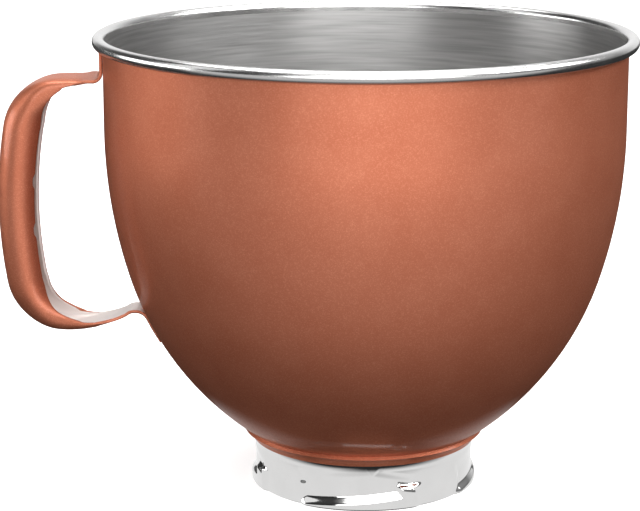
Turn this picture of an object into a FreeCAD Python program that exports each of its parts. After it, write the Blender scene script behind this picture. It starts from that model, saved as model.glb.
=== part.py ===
"""Stand mixer bowl with a welded C-section handle and a bayonet foot ring.

The frame has its origin on the bowl's axis at the level it stands on, +Z up, with the handle
towards -X. All lengths are millimetres and all angles degrees.
"""
import FreeCAD, Part
import math
import os
import Sketcher

V = FreeCAD.Vector
START, END, CENTRE = 1, 2, 3

# Points across half of a grip section, sections along the grip, and the inset of a pad that joins the grip
SECTION_STEPS = 6
GRIP_STEPS = 20
SEAM = 0.1

# Driving dimensions: alias, value, meaning
SIZES = [
    ("total_height", 195.0, "floor to the top of the rim bead"),
    ("base_height", 15.0, "height of the flat base's underside"),
    ("base_radius", 24.27, "radius of the flat base"),
    ("corner_radius", 40.0, "outside radius between belly and flat base"),
    ("belly_radius", 130.0, "outside radius of the belly curve"),
    ("belly_turn", 40.55, "turn of the belly curve"),
    ("side_radius", 210.0, "outside radius of the side curve"),
    ("side_turn", 17.3, "turn of the side curve up to the straight wall"),
    ("bowl_sheet", 0.9, "sheet thickness of the drawn bowl"),
    ("bead_radius", 2.6, "outside radius of the rolled rim bead"),
    ("bead_turn", 292.0, "turn of the rolled rim bead"),
    ("foot_sheet", 1.5, "sheet thickness of the foot ring"),
    ("foot_radius", 47.5, "outside of the foot's neck"),
    ("foot_edge", 0.9, "rounding of the foot's lower edge"),
    ("flare_bend", 12.0, "outside bend radius between neck and flare"),
    ("flare_lap", 1.2, "width of the flare that lies on the bowl"),
    ("track_sink", 0.6, "depth of the track floors below the neck's outside"),
    ("floor_bottom", 1.2, "lower edge of the band that carries the track floors"),
    ("floor_margin", 1.1, "height of that band above the tracks"),
    ("lug_proud", 1.3, "height of the bayonet lugs above the neck's outside"),
    ("lug_height", 10.0, "height of the lugs before the tracks are cut"),
    ("lug_span", 52.0, "angle of a lug at its full radius"),
    ("lug_blend", 4.5, "angle of the blend at each end of a lug"),
    ("lug_bearing", 1.0, "bearing of a lug's middle from the front"),
    ("lug_count", 4.0, "number of bayonet lugs"),
    ("cam_start", -34.0, "bearing where a cam track begins"),
    ("cam_peak", 5.0, "bearing where the tall part of a cam track ends"),
    ("cam_stop", 17.5, "bearing of the stop at a cam track's end"),
    ("cam_pitch", 27.0, "rise of the cam track for a full turn"),
    ("ledge_height", 2.4, "middle of the cam ledge where the track begins"),
    ("ledge_slope", 50.0, "slope of the cam ledge from level"),
    ("ledge_fillet", 1.0, "fillet between cam ledge and track floor"),
    ("track_height", 11.8, "height of the tall part of a cam track"),
    ("track_low_height", 7.8, "height of the low part of a cam track"),
    ("exit_end", 33.0, "bearing where the falling exit channel ends"),
    ("exit_start", 2.0, "bearing where the falling exit channel begins"),
    ("exit_pitch", 68.0, "fall of the exit channel for a full turn"),
    ("exit_bottom", 8.0, "lower edge of the exit channel at its end"),
    ("exit_height", 3.8, "height of the exit channel"),
    ("strap", 1.5, "sheet thickness of the handle"),
    ("arm_drop", 18.5, "top of the rim bead down to the upper arm"),
    ("arm_half_width", 13.5, "half the width of the upper arm and tab"),
    ("tab_drop", 6.6, "top of the rim bead down to the upper tab"),
    ("tab_bend", 3.0, "inner bend radius between upper tab and arm"),
    ("arm_flat", 5.5, "length of the upper arm that is flat"),
    ("arm_straight", 8.3, "length of the upper arm that rolls before the corner"),
    ("upper_corner", 25.0, "crown radius of the upper corner"),
    ("upper_turn", 79.9, "turn of the upper corner"),
    ("grip_bow", 200.0, "crown radius along the grip"),
    ("grip_turn", 19.6, "turn along the grip"),
    ("lower_corner", 24.5, "crown radius of the lower corner"),
    ("lower_turn", 75.5, "turn of the lower corner"),
    ("lower_sweep", 52.0, "crown radius of the lower arm"),
    ("crest_radius", 5.0, "inner bend radius where the lower arm meets the wall"),
    ("foot_tab", 12.0, "length of the lower tab down the wall"),
    ("lower_half_width", 7.4, "half the width of the lower arm and tab"),
    ("grip_half_width", 12.0, "half the width of the grip"),
    ("grip_depth", 16.3, "depth of the grip's C section"),
    ("grip_wrap", 141.0, "half the wrap angle of the grip's C section"),
    ("strap_wrap", 35.0, "half the wrap angle where the section is nearly flat"),
    ("upper_roll", 43.0, "length over which the upper end rolls into the C section"),
    ("lower_roll", 60.0, "length over which the lower end rolls into the C section"),
]


def polar(centre, radius, degrees):
    """Returns the point at an angle on a circle."""
    angle = math.radians(degrees)
    return (centre[0] + radius * math.cos(angle), centre[1] + radius * math.sin(angle))


def direction(start, end):
    """Returns the angle of the line from one point to another."""
    return math.degrees(math.atan2(end[1] - start[1], end[0] - start[0]))


def crossing(function, low, high):
    """Returns where a function that falls from low to high crosses zero."""
    for _ in range(60):
        middle = (low + high) / 2
        if function(middle) > 0:
            low = middle
        else:
            high = middle
    return (low + high) / 2


def make_sheet(doc):
    """Fills the spreadsheet that drives the model."""
    sheet = doc.addObject("Spreadsheet::Sheet", "sizes")
    for row, (alias, value, meaning) in enumerate(SIZES, start=1):
        sheet.set(f"A{row}", alias)
        sheet.set(f"B{row}", str(value))
        sheet.set(f"C{row}", meaning)
        sheet.setAlias(f"B{row}", alias)
    doc.recompute()
    return sheet


def make_body(doc, name):
    """Adds a body whose label is the name of its file."""
    body = doc.addObject("PartDesign::Body", name)
    body.Label = name
    return body


def origin_item(body, role):
    """Finds one of a body's own origin planes or axes."""
    return [item for item in body.Origin.OriginFeatures if item.Role == role][0]


class Outline:
    """A sketch on one of its body's origin planes, with sizes bound to the spreadsheet."""

    def __init__(self, body, name, role, offset=None):
        self.sketch = body.newObject("Sketcher::SketchObject", name)
        self.sketch.AttachmentSupport = [(origin_item(body, role), "")]
        self.sketch.MapMode = "FlatFace"
        if offset is not None:
            self.sketch.AttachmentOffset = offset

    def line(self, start, end):
        """Draws a line and returns its number."""
        return self.sketch.addGeometry(Part.LineSegment(V(*start, 0), V(*end, 0)), False)

    def arc(self, centre, radius, start, end):
        """Draws an arc anticlockwise between two angles and returns its number."""
        circle = Part.Circle(V(*centre, 0), V(0, 0, 1), radius)
        shape = Part.ArcOfCircle(circle, math.radians(start), math.radians(end))
        return self.sketch.addGeometry(shape, False)

    def curve(self, points, pieces=1):
        """Draws a smooth curve through points, evenly spaced in its parameter, in one or more pieces."""
        whole = Part.BSplineCurve()
        steps = [step / (len(points) - 1) for step in range(len(points))]
        whole.interpolate(Points=[V(*point, 0) for point in points], Parameters=steps)
        for piece in range(pieces):
            spline = whole.copy()
            spline.segment(piece / pieces, (piece + 1) / pieces)
            self.sketch.addGeometry(spline, False)

    def loop(self, points):
        """Draws a closed outline of lines, joined at their ends."""
        lines = [self.line(a, b) for a, b in zip(points, points[1:] + points[:1])]
        for first, second in zip(lines, lines[1:] + lines[:1]):
            self.join(first, END, second, START)
        return lines

    def join(self, first, first_end, second, second_end, kind="Coincident"):
        """Joins two ends, or makes them meet tangentially."""
        self.sketch.addConstraint(Sketcher.Constraint(kind, first, first_end, second, second_end))

    def rule(self, kind, *items):
        """Adds a constraint that needs no size, such as Vertical or Horizontal."""
        self.sketch.addConstraint(Sketcher.Constraint(kind, *items))

    def bind(self, name, expression, kind, *items):
        """Adds a dimension and binds it to the spreadsheet."""
        number = self.sketch.addConstraint(Sketcher.Constraint(kind, *items))
        self.sketch.renameConstraint(number, name)
        self.sketch.setExpression(f"Constraints.{name}", expression)


def feature(body, kind, name, outline, **values):
    """Adds a sketch-based feature to a body and sets its properties."""
    item = body.newObject(kind, name)
    item.Profile = outline.sketch
    for key, value in values.items():
        setattr(item, key, value)
    return item


class BowlForm:
    """The bowl's outer form in its section plane, shared by every piece that seats on it."""

    def __init__(self, size):
        self.base = size("base_height")
        self.flat = size("base_radius")
        self.radii = (size("corner_radius"), size("belly_radius"), size("side_radius"))
        turned = size("side_turn") + size("belly_turn")
        self.angles = (-90.0, -turned, -size("side_turn"), 0.0)
        corner, belly, side = self.radii
        corner_centre = (self.flat, self.base + corner)
        belly_centre = polar(corner_centre, corner - belly, self.angles[1])
        side_centre = polar(belly_centre, belly - side, self.angles[2])
        self.centres = (corner_centre, belly_centre, side_centre)
        self.wall = side_centre[0] + side
        self.wall_bottom = side_centre[1]

    def gap(self, point):
        """Returns the distance from a point outside to the form, and the number of the curve it faces."""
        for number, (centre, radius) in enumerate(zip(self.centres, self.radii)):
            if self.angles[number] <= direction(centre, point) <= self.angles[number + 1]:
                return math.dist(centre, point) - radius, number
        if point[1] > self.wall_bottom:
            return point[0] - self.wall, 2
        return self.base - point[1], 0

    def skin(self, outline, inset=0.0):
        """Draws the three curves of the form, moved inwards by an inset."""
        parts = zip(self.centres, self.radii, self.angles, self.angles[1:])
        return [outline.arc(centre, radius - inset, start, end) for centre, radius, start, end in parts]

    def cut_seat(self, body, top):
        """Cuts a body to the form, so that it lies on the bowl face to face."""
        section = Outline(body, "seat_section", "XZ_Plane")
        base = section.line((0, self.base), (self.flat, self.base))
        curves = self.skin(section)
        wall = section.line((self.wall, self.wall_bottom), (self.wall, top))
        lid = section.line((self.wall, top), (0, top))
        axis = section.line((0, top), (0, self.base))
        section.join(base, END, curves[0], START, "Tangent")
        section.join(curves[0], END, curves[1], START, "Tangent")
        section.join(curves[1], END, curves[2], START, "Tangent")
        section.join(curves[2], END, wall, START, "Tangent")
        section.join(wall, END, lid, START)
        section.join(lid, END, axis, START)
        section.join(axis, END, base, START)
        for name, curve, radius in zip(("corner", "belly", "side"), curves, self.radii):
            section.bind(f"{name}_radius", f"sizes.{name}_radius", "Radius", curve, radius)
        groove = feature(body, "PartDesign::Groove", "bowl_seat", section)
        groove.ReferenceAxis = (section.sketch, ["V_Axis"])


def make_bowl(doc, size, form):
    """The drawn bowl: one sheet section with a rolled bead, turned about the axis."""
    body = make_body(doc, "bowl")
    sheet, bead = size("bowl_sheet"), size("bead_radius")
    skin = form.wall - sheet
    bead_centre = (skin + bead, size("total_height") - bead)
    bead_end = 180.0 - size("bead_turn")
    section = Outline(body, "bowl_section", "XZ_Plane")
    floor_out = section.line((0, form.base), (form.flat, form.base))
    outer = form.skin(section)
    wall_out = section.line((form.wall, form.wall_bottom), (form.wall, bead_centre[1]))
    curl_in = section.arc(bead_centre, bead - sheet, bead_end, 180.0)
    lip = section.line(polar(bead_centre, bead - sheet, bead_end), polar(bead_centre, bead, bead_end))
    curl_out = section.arc(bead_centre, bead, bead_end, 180.0)
    wall_in = section.line((skin, bead_centre[1]), (skin, form.wall_bottom))
    inner = form.skin(section, inset=sheet)
    floor_in = section.line((form.flat, form.base + sheet), (0, form.base + sheet))
    axis = section.line((0, form.base + sheet), (0, form.base))
    section.join(floor_out, END, outer[0], START, "Tangent")
    section.join(outer[0], END, outer[1], START, "Tangent")
    section.join(outer[1], END, outer[2], START, "Tangent")
    section.join(outer[2], END, wall_out, START, "Tangent")
    section.join(wall_out, END, curl_in, END, "Tangent")
    section.join(curl_in, START, lip, START)
    section.join(lip, END, curl_out, START)
    section.join(curl_out, END, wall_in, START, "Tangent")
    section.join(wall_in, END, inner[2], END)
    section.join(inner[2], START, inner[1], END)
    section.join(inner[1], START, inner[0], END)
    section.join(inner[0], START, floor_in, START)
    section.join(floor_in, END, axis, START)
    section.join(axis, END, floor_out, START)
    for first, second in list(zip(outer, inner)) + [(curl_in, curl_out)]:
        section.join(first, CENTRE, second, CENTRE)
    section.rule("PointOnObject", floor_out, START, -2)
    section.rule("PointOnObject", floor_in, END, -2)
    section.bind("base_height", "sizes.base_height", "DistanceY", -1, 1, floor_out, START, form.base)
    section.bind("base_radius", "sizes.base_radius", "DistanceX", floor_out, START, floor_out, END, form.flat)
    for name, curve, radius in zip(("corner", "belly", "side"), outer, form.radii):
        section.bind(f"{name}_radius", f"sizes.{name}_radius", "Radius", curve, radius)
    section.bind("bead_radius", "sizes.bead_radius", "Radius", curl_out, bead)
    turned = feature(body, "PartDesign::Revolution", "bowl_shell", section)
    turned.ReferenceAxis = (section.sketch, ["V_Axis"])
    return body


def make_foot(doc, size, form):
    """The foot ring: flared neck, then lugs and cam tracks repeated round it, then track floors."""
    body = make_body(doc, "foot_ring")
    sheet, neck, bend, edge = size("foot_sheet"), size("foot_radius"), size("flare_bend"), size("foot_edge")
    height = crossing(lambda z: form.gap((neck + bend, z))[0] - sheet - bend, -form.base, form.wall_bottom)
    bend_centre = (neck + bend, height)
    number = form.gap(bend_centre)[1]
    seat, radius = form.centres[number], form.radii[number]
    seat_angle = direction(seat, bend_centre)
    bend_start = seat_angle + 180.0
    rim_angle = seat_angle + math.degrees(size("flare_lap") / radius)
    section = Outline(body, "foot_section", "XZ_Plane")
    inner_wall = section.line((neck - sheet, bend_centre[1]), (neck - sheet, 0))
    under = section.line((neck - sheet, 0), (neck - edge, 0))
    rounding = section.arc((neck - edge, edge), edge, -90.0, 0.0)
    outer_wall = section.line((neck, edge), (neck, bend_centre[1]))
    bend_out = section.arc(bend_centre, bend, bend_start, 180.0)
    flare_out = section.arc(seat, radius + sheet, seat_angle, rim_angle)
    rim = section.line(polar(seat, radius + sheet, rim_angle), polar(seat, radius - sheet, rim_angle))
    flare_in = section.arc(seat, radius - sheet, seat_angle, rim_angle)
    root = section.line(polar(seat, radius - sheet, seat_angle), polar(seat, radius, seat_angle))
    bend_in = section.arc(bend_centre, bend + sheet, bend_start, 180.0)
    section.join(inner_wall, END, under, START)
    section.join(under, END, rounding, START, "Tangent")
    section.join(rounding, END, outer_wall, START, "Tangent")
    section.join(outer_wall, END, bend_out, END, "Tangent")
    section.join(bend_out, START, flare_out, START, "Tangent")
    section.join(flare_out, END, rim, START)
    section.join(rim, END, flare_in, END)
    section.join(flare_in, START, root, START)
    section.join(root, END, bend_in, START)
    section.join(bend_in, END, inner_wall, START)
    section.join(bend_out, CENTRE, bend_in, CENTRE)
    section.join(flare_out, CENTRE, flare_in, CENTRE)
    section.bind("flare_bend", "sizes.flare_bend", "Radius", bend_out, bend)
    section.bind("foot_edge", "sizes.foot_edge", "Radius", rounding, edge)
    section.bind("foot_radius", "sizes.foot_radius", "DistanceX", -1, 1, outer_wall, START, neck)
    ring = feature(body, "PartDesign::Revolution", "flared_ring", section)
    ring.ReferenceAxis = (section.sketch, ["V_Axis"])
    tracks, top = make_tracks(body, size)
    repeated = [make_lug(body, size)] + tracks
    pattern = body.newObject("PartDesign::PolarPattern", "lugs_and_tracks")
    pattern.Originals = repeated
    pattern.Axis = (origin_item(body, "Z_Axis"), [""])
    pattern.Angle = 360
    pattern.setExpression("Occurrences", "sizes.lug_count")
    body.Tip = pattern
    add_track_floors(body, size, top)
    round_lug_edges(body, size)
    form.cut_seat(body, size("total_height"))
    return body


def make_lug(body, size):
    """One bayonet lug, drawn in plan with a blend at each end."""
    neck = size("foot_radius")
    outer, inner = neck + size("lug_proud"), neck - size("foot_sheet") / 2
    middle = size("lug_bearing") - 90.0
    full, whole = size("lug_span") / 2, size("lug_span") / 2 + size("lug_blend")
    plan = Outline(body, "lug_plan", "XY_Plane")
    face = plan.arc((0, 0), outer, middle - full, middle + full)
    back = plan.arc((0, 0), inner, middle - whole, middle + whole)
    start = plan.line(polar((0, 0), inner, middle - whole), polar((0, 0), outer, middle - full))
    end = plan.line(polar((0, 0), outer, middle + full), polar((0, 0), inner, middle + whole))
    plan.join(start, END, face, START)
    plan.join(face, END, end, START)
    plan.join(end, END, back, END)
    plan.join(back, START, start, START)
    plan.join(face, CENTRE, -1, 1)
    plan.join(back, CENTRE, -1, 1)
    plan.bind("lug_radius", "sizes.foot_radius + sizes.lug_proud", "Radius", face, outer)
    plan.bind("lug_back", "sizes.foot_radius - sizes.foot_sheet / 2", "Radius", back, inner)
    lug = feature(body, "PartDesign::Pad", "lug", plan)
    lug.setExpression("Length", "sizes.lug_height")
    return lug


class TrackCut:
    """A section cut along a helix about the axis, between two bearings from the front."""

    def __init__(self, body, name, pitch, start, end, points):
        turned = FreeCAD.Placement(V(0, 0, 0), FreeCAD.Rotation(V(0, 1, 0), start - 90.0))
        section = Outline(body, f"{name}_section", "XZ_Plane", turned)
        section.loop(points)
        self.item = feature(body, "PartDesign::SubtractiveHelix", name, section)
        self.item.ReferenceAxis = (section.sketch, ["V_Axis"])
        self.item.Mode = "pitch-height-angle"
        self.item.Pitch = pitch
        self.item.Height = pitch * abs(end - start) / 360.0
        self.item.LeftHanded = end < start
        self.top = max(point[1] for point in points) + self.item.Height.Value


def make_tracks(body, size):
    """The cam track above one lug: a tall start, a low end at the stop, and a falling exit."""
    neck, face = size("foot_radius"), size("foot_radius") + size("lug_proud")
    floor, inside = neck - size("track_sink"), neck - 2.0 * size("foot_sheet")
    middle, outside = (floor + face) / 2, face + size("foot_sheet")
    slope = math.tan(math.radians(size("ledge_slope")))
    fillet = size("ledge_fillet")
    rise = size("cam_pitch") / 360.0

    def track(name, start, end, track_height):
        """Cuts one stretch of the rising track, whose lower side is the cam ledge."""
        low = size("ledge_height") + rise * (start - size("cam_start"))
        top = low + slope * (middle - floor)
        ledge = [(inside, top + fillet), (floor, top + fillet), (floor + fillet * 0.3, top)]
        outer = [(outside, low - slope * (outside - middle)), (outside, low + track_height)]
        points = ledge + outer + [(inside, low + track_height)]
        return TrackCut(body, name, size("cam_pitch"), start, end, points)

    tall = track("tall_track", size("cam_start"), size("cam_peak"), size("track_height"))
    low = track("low_track", size("cam_peak"), size("cam_stop"), size("track_low_height"))
    bottom, top = size("exit_bottom"), size("exit_bottom") + size("exit_height")
    points = [(inside, bottom), (outside, bottom), (outside, top), (inside, top)]
    channel = TrackCut(body, "exit_track", size("exit_pitch"), size("exit_end"), size("exit_start"), points)
    cuts = [tall, low, channel]
    return [cut.item for cut in cuts], max(cut.top for cut in cuts)


def add_track_floors(body, size, tracks_top):
    """The inner band that closes the tracks and forms their floors."""
    outer = size("foot_radius") - size("track_sink")
    inner = outer - size("foot_sheet")
    low, high = size("floor_bottom"), tracks_top + size("floor_margin")
    section = Outline(body, "floor_section", "XZ_Plane")
    lines = section.loop([(inner, low), (outer, low), (outer, high), (inner, high)])
    section.rule("Horizontal", lines[0])
    section.rule("Vertical", lines[1])
    section.rule("Horizontal", lines[2])
    section.rule("Vertical", lines[3])
    floor = "sizes.foot_radius - sizes.track_sink"
    section.bind("floor_radius", floor, "DistanceX", -1, 1, lines[1], START, outer)
    section.bind("floor_bottom", "sizes.floor_bottom", "DistanceY", -1, 1, lines[0], START, low)
    section.bind("band_sheet", "sizes.foot_sheet", "DistanceX", lines[0], START, lines[0], END, outer - inner)
    band = feature(body, "PartDesign::Revolution", "track_floors", section)
    band.ReferenceAxis = (section.sketch, ["V_Axis"])


def round_lug_edges(body, size):
    """Rounds the lower outer edge of every lug."""
    outer, edge = size("foot_radius") + size("lug_proud"), size("foot_edge")
    section = Outline(body, "edge_section", "XZ_Plane")
    quarter = section.arc((outer - edge, edge), edge, -90.0, 0.0)
    under = section.line((outer - edge, 0), (outer + edge, -edge))
    outside = section.line((outer + edge, -edge), (outer, edge))
    section.join(quarter, START, under, START)
    section.join(under, END, outside, START)
    section.join(outside, END, quarter, END)
    section.bind("foot_edge", "sizes.foot_edge", "Radius", quarter, edge)
    groove = feature(body, "PartDesign::Groove", "lug_edges", section)
    groove.ReferenceAxis = (section.sketch, ["V_Axis"])


class HandlePath:
    """The crown line of the handle in the plane of its middle, from the upper arm to the wall."""

    def __init__(self, size, form):
        self.bend_x = -(form.wall + size("strap") + size("tab_bend"))
        self.arm_z = size("total_height") - size("arm_drop")
        self.start = (self.bend_x - size("arm_flat"), self.arm_z)
        self.runs = [
            (None, size("arm_straight")),
            (size("upper_corner"), size("upper_turn")),
            (size("grip_bow"), size("grip_turn")),
            (size("lower_corner"), size("lower_turn")),
        ]
        point, heading, _ = self.at(sum(self.length(run) for run in self.runs))
        self.sweep = size("lower_sweep")
        self.sweep_centre = polar(point, self.sweep, heading + 90.0)
        self.crest = size("crest_radius")
        offset = size("strap") + self.crest

        def off_wall(turn):
            """Returns how far the crest's bend is from the bowl after a turn of the lower arm."""
            centre = polar(self.sweep_centre, self.sweep + self.crest, heading - 90.0 + turn)
            return form.gap((-centre[0], centre[1]))[0] - offset

        turn = crossing(off_wall, 0.0, 90.0)
        self.sweep_end = heading - 90.0 + turn
        self.crest_centre = polar(self.sweep_centre, self.sweep + self.crest, self.sweep_end)
        self.runs.append((self.sweep, turn))
        self.total = sum(self.length(run) for run in self.runs)

    @staticmethod
    def length(run):
        """Returns the length of a straight run or an arc."""
        radius, amount = run
        return amount if radius is None else radius * math.radians(amount)

    def at(self, distance):
        """Returns the crown point, the heading and the inward normal at a distance along the path."""
        point, heading = self.start, 180.0
        for radius, amount in self.runs:
            step = min(distance, self.length((radius, amount)))
            if radius is None:
                point = polar(point, step, heading)
            else:
                centre = polar(point, radius, heading + 90.0)
                heading += math.degrees(step / radius)
                point = polar(centre, radius, heading - 90.0)
            distance -= step
            if distance <= 0:
                break
        normal = polar((0.0, 0.0), 1.0, heading + 90.0)
        return point, heading, normal


def c_section(body, name, size, path, distance):
    """Draws the handle's section at a distance along its path, rolled as far as it is there."""
    upper = math.sin(math.radians(90.0) * min(1.0, distance / size("upper_roll")))
    lower = math.sin(math.radians(90.0) * min(1.0, (path.total - distance) / size("lower_roll")))
    roll = min(upper, lower ** 2)
    narrow, ease = (size("arm_half_width"), upper) if upper < lower else (size("lower_half_width"), lower)
    width = narrow + (size("grip_half_width") - narrow) * ease
    wrap = size("strap_wrap") + (size("grip_wrap") - size("strap_wrap")) * roll
    sheet = size("strap")
    across = width / math.sin(math.radians(min(wrap, 90.0)))
    down = size("grip_depth") * roll / (1.0 - math.cos(math.radians(wrap)))
    outer, inner = [], []
    for step in range(-SECTION_STEPS, SECTION_STEPS + 1):
        angle = math.radians(wrap * step / SECTION_STEPS)
        point = (across * math.sin(angle), down * (1.0 - math.cos(angle)))
        normal = (-down * math.sin(angle), across * math.cos(angle))
        long = math.hypot(*normal)
        outer.append(point)
        inner.append((point[0] + sheet * normal[0] / long, point[1] + sheet * normal[1] / long))
    crown_point, heading, inward = path.at(distance)
    ahead = polar((0.0, 0.0), 1.0, heading)
    turn = FreeCAD.Rotation(V(0, 1, 0), V(inward[0], 0, inward[1]), V(ahead[0], 0, ahead[1]), "XYZ")
    outline = Outline(body, name, "XY_Plane", FreeCAD.Placement(V(crown_point[0], 0, crown_point[1]), turn))
    outline.curve(outer, pieces=3)
    outline.line(outer[-1], inner[-1])
    outline.curve(inner[::-1])
    outline.line(inner[0], outer[0])
    return outline.sketch


def make_handle(doc, size, form):
    """The handle: a lofted C section between two flat arms, with tabs that seat on the wall."""
    body = make_body(doc, "handle")
    path = HandlePath(size, form)
    steps = [path.total * step / GRIP_STEPS for step in range(GRIP_STEPS + 1)]
    sections = [c_section(body, f"grip_section_{step}", size, path, at) for step, at in enumerate(steps)]
    loft = body.newObject("PartDesign::AdditiveLoft", "grip")
    loft.Profile = sections[0]
    loft.Sections = sections[1:]
    add_upper_tab(body, size, form, path)
    add_lower_tab(body, size, form, path)
    form.cut_seat(body, size("total_height"))
    return body


def add_upper_tab(body, size, form, path):
    """The upper tab and its bend, curved with the wall and trimmed to the strap's width, and the flat arm."""
    strap, bend, top, half = size("strap"), size("tab_bend"), path.arm_z, size("arm_half_width")
    centre = (path.bend_x, top + bend)
    face_x, back_x = -form.wall - strap, -form.wall + strap
    tip_z, end_x = size("total_height") - size("tab_drop"), path.bend_x - strap
    section = Outline(body, "upper_tab_section", "XZ_Plane")
    arm_top = section.line((end_x, top), (path.bend_x, top))
    bend_in = section.arc(centre, bend, -90.0, 0.0)
    face = section.line((face_x, top + bend), (face_x, tip_z))
    tip = section.line((face_x, tip_z), (back_x, tip_z))
    back = section.line((back_x, tip_z), (back_x, top + bend))
    root = section.line((back_x, top + bend), (-form.wall, top + bend))
    bend_out = section.arc(centre, bend + strap, -90.0, 0.0)
    arm_under = section.line((path.bend_x, top - strap), (end_x, top - strap))
    end = section.line((end_x, top - strap), (end_x, top))
    section.join(arm_top, END, bend_in, START, "Tangent")
    section.join(bend_in, END, face, START, "Tangent")
    section.join(face, END, tip, START)
    section.join(tip, END, back, START)
    section.join(back, END, root, START)
    section.join(root, END, bend_out, END)
    section.join(bend_out, START, arm_under, START, "Tangent")
    section.join(arm_under, END, end, START)
    section.join(end, END, arm_top, START)
    section.bind("tab_bend", "sizes.tab_bend", "Radius", bend_in, bend)
    spread = 2.0 * math.degrees(math.atan(half / form.wall)) + 2.0
    tab = feature(body, "PartDesign::Revolution", "upper_tab", section, Midplane=True, Angle=spread)
    tab.ReferenceAxis = (section.sketch, ["V_Axis"])
    plan = Outline(body, "upper_trim_plan", "XY_Plane")
    near, far, side = -form.wall + 4.0 * strap, end_x - strap, half * 2.0
    plan.loop([(far, half), (near, half), (near, side), (far, side)])
    plan.loop([(far, -side), (near, -side), (near, -half), (far, -half)])
    feature(body, "PartDesign::Pocket", "upper_trim", plan, Type="ThroughAll", Midplane=True)
    arm = Outline(body, "upper_arm_section", "XZ_Plane")
    left, right, low, high = path.start[0] - SEAM, path.bend_x, top - strap + SEAM, top - SEAM
    arm.loop([(left, low), (right, low), (right, high), (left, high)])
    pad = feature(body, "PartDesign::Pad", "upper_arm", arm, Midplane=True)
    pad.setExpression("Length", f"2 * (sizes.arm_half_width - {SEAM})")


def add_lower_tab(body, size, form, path):
    """The crest of the lower arm and the tab that runs down the wall."""
    strap, crest, crest_centre = size("strap") - 2.0 * SEAM, path.crest + SEAM, path.crest_centre
    number = form.gap((-crest_centre[0], crest_centre[1]))[1]
    seat, radius = (-form.centres[number][0], form.centres[number][1]), form.radii[number] + SEAM
    tab_start = direction(seat, crest_centre) % 360.0
    tab_end = tab_start + math.degrees(size("foot_tab") / radius)
    arm_angle = direction(crest_centre, path.sweep_centre) + math.degrees(SEAM / crest)
    section = Outline(body, "lower_tab_section", "XZ_Plane")
    crest_in = section.arc(crest_centre, crest, tab_start - 180.0, arm_angle)
    face = section.arc(seat, radius + strap, tab_start, tab_end)
    tip = section.line(polar(seat, radius + strap, tab_end), polar(seat, radius - strap, tab_end))
    back = section.arc(seat, radius - strap, tab_start, tab_end)
    root = section.line(polar(seat, radius - strap, tab_start), polar(seat, radius, tab_start))
    crest_out = section.arc(crest_centre, crest + strap, tab_start - 180.0, arm_angle)
    end = section.line(polar(crest_centre, crest + strap, arm_angle), polar(crest_centre, crest, arm_angle))
    section.join(end, END, crest_in, END)
    section.join(crest_in, START, face, START, "Tangent")
    section.join(face, END, tip, START)
    section.join(tip, END, back, END)
    section.join(back, START, root, START)
    section.join(root, END, crest_out, START)
    section.join(crest_out, END, end, START)
    section.join(crest_in, CENTRE, crest_out, CENTRE)
    section.join(face, CENTRE, back, CENTRE)
    section.bind("crest_radius", f"sizes.crest_radius + {SEAM}", "Radius", crest_in, crest)
    tab = feature(body, "PartDesign::Pad", "lower_tab", section, Midplane=True)
    tab.setExpression("Length", f"2 * (sizes.lower_half_width - {SEAM})")


def check(doc, bodies):
    """Stops if an object has failed or a sub-part's shape is not one valid solid."""
    failed = [item.Name for item in doc.Objects if {"Invalid", "Error"} & set(item.State)]
    if failed:
        raise RuntimeError(f"failed objects: {failed}")
    for body in bodies:
        shape = body.Shape
        if shape.isNull() or not shape.isValid() or len(shape.Solids) != 1:
            raise RuntimeError(f"{body.Label} is not one valid solid")


def main():
    """Builds the document and writes one file for each sub-part."""
    doc = FreeCAD.newDocument("mixer_bowl")
    sheet = make_sheet(doc)

    def size(alias):
        """Reads a driving dimension."""
        return float(sheet.get(alias))

    form = BowlForm(size)
    bodies = [make_bowl(doc, size, form), make_handle(doc, size, form), make_foot(doc, size, form)]
    doc.recompute()
    check(doc, bodies)
    os.makedirs("parts", exist_ok=True)
    for body in bodies:
        body.Shape.exportStep(f"parts/{body.Label}.step")
        print(body.Label, round(body.Shape.Volume, 1), "mm3", body.Shape.BoundBox)


main()
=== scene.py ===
"""A stand mixer bowl: painted shell, brushed inside, rolled bead, welded handle and bayonet foot.

Lengths in the fields of the bowl, the handle and the foot are millimetres in the CAD frame. Lengths
in the fields of the finishes and the studio are metres, and so are the meshes.
"""

import logging
import math
from dataclasses import dataclass, field
from enum import Enum

import bmesh
import bpy
from mathutils import Matrix, Vector


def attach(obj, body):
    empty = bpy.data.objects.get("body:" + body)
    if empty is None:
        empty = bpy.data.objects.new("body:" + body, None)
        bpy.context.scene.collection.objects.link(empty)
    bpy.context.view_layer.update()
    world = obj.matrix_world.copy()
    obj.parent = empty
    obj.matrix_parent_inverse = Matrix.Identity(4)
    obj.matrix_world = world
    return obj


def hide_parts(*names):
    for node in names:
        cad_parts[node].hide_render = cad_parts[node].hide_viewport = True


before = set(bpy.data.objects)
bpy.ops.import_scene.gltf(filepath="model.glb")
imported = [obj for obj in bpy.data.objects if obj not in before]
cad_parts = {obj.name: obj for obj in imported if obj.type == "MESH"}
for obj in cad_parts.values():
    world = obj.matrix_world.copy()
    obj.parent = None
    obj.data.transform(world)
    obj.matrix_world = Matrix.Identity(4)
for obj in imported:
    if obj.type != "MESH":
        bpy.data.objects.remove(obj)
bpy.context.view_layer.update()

LOG = logging.getLogger("mixer_bowl")
MM = 0.001
Point = tuple[float, float]
Triple = tuple[float, float, float]
Mesh = bmesh.types.BMesh
Material = bpy.types.Material
Socket = bpy.types.NodeSocket


class Finish(Enum):
    """The surface finishes of the bowl, by the record's slot names."""

    SHELL = "painted_shell"
    HANDLE = "painted_handle"
    FOOT = "bright_foot"
    INSIDE = "brushed_inside"
    BEAD = "bare_bead"


Finishes = dict[Finish, Material]


# Plane geometry


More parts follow.
